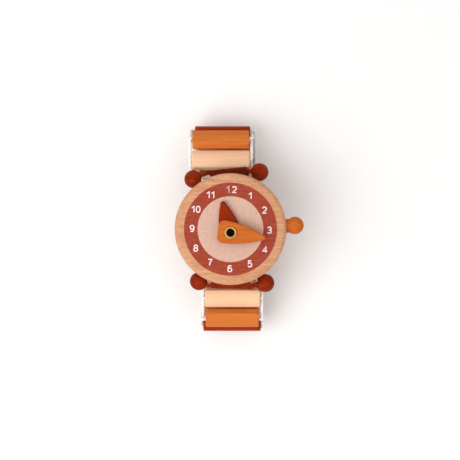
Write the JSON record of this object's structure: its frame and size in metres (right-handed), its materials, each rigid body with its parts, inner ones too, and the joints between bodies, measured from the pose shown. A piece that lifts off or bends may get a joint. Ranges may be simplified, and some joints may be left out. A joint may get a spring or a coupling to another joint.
{
  "type": "toy watch",
  "caption": "Wooden play watch with a round case, a printed dial with two turning hands, a ball crown and a flexible band of wooden slats strung on white elastic.",
  "frame": {"origin": "on the eyelet's axis, at the face of the wooden case under the dial print", "axes": "+Z out of the dial, +Y to twelve o'clock, +X to the crown at three o'clock"},
  "size_m": [0.0464, 0.076, 0.0407],
  "materials": {
    "case_wood": "clear satin lacquer on beech",
    "ring_print": "matt printed ink on wood",
    "centre_print": "matt printed ink on wood",
    "cream_wood": "satin paint",
    "orange_wood": "satin stain, grain shows",
    "rust_wood": "satin stain, grain shows",
    "brass": "polished",
    "elastic": "braided elastic"
  },
  "bodies": {
    "case": {"case": "case_wood", "dial_ring": "ring_print", "dial_centre": "centre_print", "crown": "orange_wood", "eyelet": "brass", "back_washer": "brass", "cord_case": "elastic", "cord_12_0": "elastic", "cord_6_0": "elastic"},
    "hour_hand": {"hour_hand": "rust_wood"},
    "minute_hand": {"minute_hand": "orange_wood"},
    "lug_bar_12": {"lug_bar_12": "rust_wood"},
    "slat_12_1": {"slat_12_1": "cream_wood", "cord_12_1": "elastic"},
    "slat_12_2": {"slat_12_2": "orange_wood", "cord_12_2": "elastic"},
    "slat_12_3": {"slat_12_3": "rust_wood", "cord_12_3": "elastic"},
    "slat_12_4": {"slat_12_4": "cream_wood", "cord_12_4": "elastic"},
    "slat_12_5": {"slat_12_5": "orange_wood", "cord_12_5": "elastic"},
    "slat_12_6": {"slat_12_6": "rust_wood", "cord_12_6": "elastic"},
    "slat_12_7": {"slat_12_7": "cream_wood", "cord_12_7": "elastic"},
    "slat_middle": {"slat_middle": "orange_wood", "cord_middle": "elastic"},
    "lug_bar_6": {"lug_bar_6": "rust_wood"},
    "slat_6_1": {"slat_6_1": "cream_wood", "cord_6_1": "elastic"},
    "slat_6_2": {"slat_6_2": "orange_wood", "cord_6_2": "elastic"},
    "slat_6_3": {"slat_6_3": "rust_wood", "cord_6_3": "elastic"},
    "slat_6_4": {"slat_6_4": "cream_wood", "cord_6_4": "elastic"},
    "slat_6_5": {"slat_6_5": "orange_wood", "cord_6_5": "elastic"},
    "slat_6_6": {"slat_6_6": "rust_wood", "cord_6_6": "elastic"},
    "slat_6_7": {"slat_6_7": "cream_wood", "cord_6_7": "elastic"}
  },
  "joints": [
    {"name": "hour_hand_turn", "type": "hinge", "parent": "case", "child": "hour_hand", "pos_m": [0, 0, 0.0016], "axis": [0, 0, 1], "continuous": true},
    {"name": "minute_hand_turn", "type": "hinge", "parent": "case", "child": "minute_hand", "pos_m": [0, 0, 0.0038], "axis": [0, 0, 1], "continuous": true},
    {"name": "lug_12_turn", "type": "hinge", "parent": "case", "child": "lug_bar_12", "pos_m": [-0.00148, 0.0206, -0.0128], "axis": [0.9945, 0.1045, 0], "continuous": true},
    {"name": "slat_12_1_turn", "type": "hinge", "parent": "case", "child": "slat_12_1", "pos_m": [0, 0.02629, -0.01679], "axis": [1, 0, 0], "range_deg": [-8, 12], "stiffness_Nm_per_rad": 0.06},
    {"name": "slat_12_2_turn", "type": "hinge", "parent": "slat_12_1", "child": "slat_12_2", "pos_m": [0, 0.03399, -0.01855], "axis": [1, 0, 0], "range_deg": [-6.1, 4.1]},
    {"name": "slat_12_3_turn", "type": "hinge", "parent": "slat_12_2", "child": "slat_12_3", "pos_m": [0, 0.03696, -0.02587], "axis": [1, 0, 0], "range_deg": [-15.2, 10.2]},
    {"name": "slat_12_4_turn", "type": "hinge", "parent": "slat_12_3", "child": "slat_12_4", "pos_m": [0, 0.03279, -0.03258], "axis": [1, 0, 0], "range_deg": [-0.7, 0.5]},
    {"name": "slat_12_5_turn", "type": "hinge", "parent": "slat_12_4", "child": "slat_12_5", "pos_m": [0, 0.0249, -0.033], "axis": [1, 0, 0], "range_deg": [-4.2, 6.2]},
    {"name": "slat_12_6_turn", "type": "hinge", "parent": "slat_12_5", "child": "slat_12_6", "pos_m": [0, 0.017, -0.033], "axis": [1, 0, 0], "range_deg": [-1.3, 1.9]},
    {"name": "slat_12_7_turn", "type": "hinge", "parent": "slat_12_6", "child": "slat_12_7", "pos_m": [0, 0.0091, -0.033], "axis": [1, 0, 0], "range_deg": [-0.9, 1.4]},
    {"name": "slat_middle_turn", "type": "hinge", "parent": "slat_12_7", "child": "slat_middle", "pos_m": [0, 0.0012, -0.033], "axis": [1, 0, 0], "range_deg": [-0.5, 0.8]},
    {"name": "lug_6_turn", "type": "hinge", "parent": "case", "child": "lug_bar_6", "pos_m": [0.0006, -0.0182, -0.0128], "axis": [0.9996, -0.0279, 0], "continuous": true},
    {"name": "slat_6_1_turn", "type": "hinge", "parent": "case", "child": "slat_6_1", "pos_m": [0, -0.02389, -0.01679], "axis": [-1, 0, 0], "range_deg": [-8.1, 12.1]},
    {"name": "slat_6_2_turn", "type": "hinge", "parent": "slat_6_1", "child": "slat_6_2", "pos_m": [0, -0.03159, -0.01855], "axis": [-1, 0, 0], "range_deg": [-6.1, 4.1]},
    {"name": "slat_6_3_turn", "type": "hinge", "parent": "slat_6_2", "child": "slat_6_3", "pos_m": [0, -0.03456, -0.02587], "axis": [-1, 0, 0], "range_deg": [-15.2, 10.2]},
    {"name": "slat_6_4_turn", "type": "hinge", "parent": "slat_6_3", "child": "slat_6_4", "pos_m": [0, -0.03039, -0.03258], "axis": [-1, 0, 0], "range_deg": [-0.7, 0.5]},
    {"name": "slat_6_5_turn", "type": "hinge", "parent": "slat_6_4", "child": "slat_6_5", "pos_m": [0, -0.0225, -0.033], "axis": [-1, 0, 0], "range_deg": [-4.2, 6.2]},
    {"name": "slat_6_6_turn", "type": "hinge", "parent": "slat_6_5", "child": "slat_6_6", "pos_m": [0, -0.0146, -0.033], "axis": [-1, 0, 0], "range_deg": [-1.3, 1.9]},
    {"name": "slat_6_7_turn", "type": "hinge", "parent": "slat_6_6", "child": "slat_6_7", "pos_m": [0, -0.0067, -0.033], "axis": [-1, 0, 0], "range_deg": [-0.9, 1.4]}
  ],
  "couplings": [
    {"joint": "slat_12_2_turn", "follows": "slat_12_1_turn", "ratio": -0.5},
    {"joint": "slat_12_3_turn", "follows": "slat_12_1_turn", "ratio": -1.2577},
    {"joint": "slat_12_4_turn", "follows": "slat_12_1_turn", "ratio": -0.0493},
    {"joint": "slat_12_5_turn", "follows": "slat_12_1_turn", "ratio": 0.507},
    {"joint": "slat_12_6_turn", "follows": "slat_12_1_turn", "ratio": 0.15},
    {"joint": "slat_12_7_turn", "follows": "slat_12_1_turn", "ratio": 0.1},
    {"joint": "slat_middle_turn", "follows": "slat_12_1_turn", "ratio": 0.05},
    {"joint": "slat_6_1_turn", "follows": "slat_12_1_turn", "ratio": 1},
    {"joint": "slat_6_2_turn", "follows": "slat_12_1_turn", "ratio": -0.5},
    {"joint": "slat_6_3_turn", "follows": "slat_12_1_turn", "ratio": -1.2577},
    {"joint": "slat_6_4_turn", "follows": "slat_12_1_turn", "ratio": -0.0493},
    {"joint": "slat_6_5_turn", "follows": "slat_12_1_turn", "ratio": 0.507},
    {"joint": "slat_6_6_turn", "follows": "slat_12_1_turn", "ratio": 0.15},
    {"joint": "slat_6_7_turn", "follows": "slat_12_1_turn", "ratio": 0.1}
  ]
}
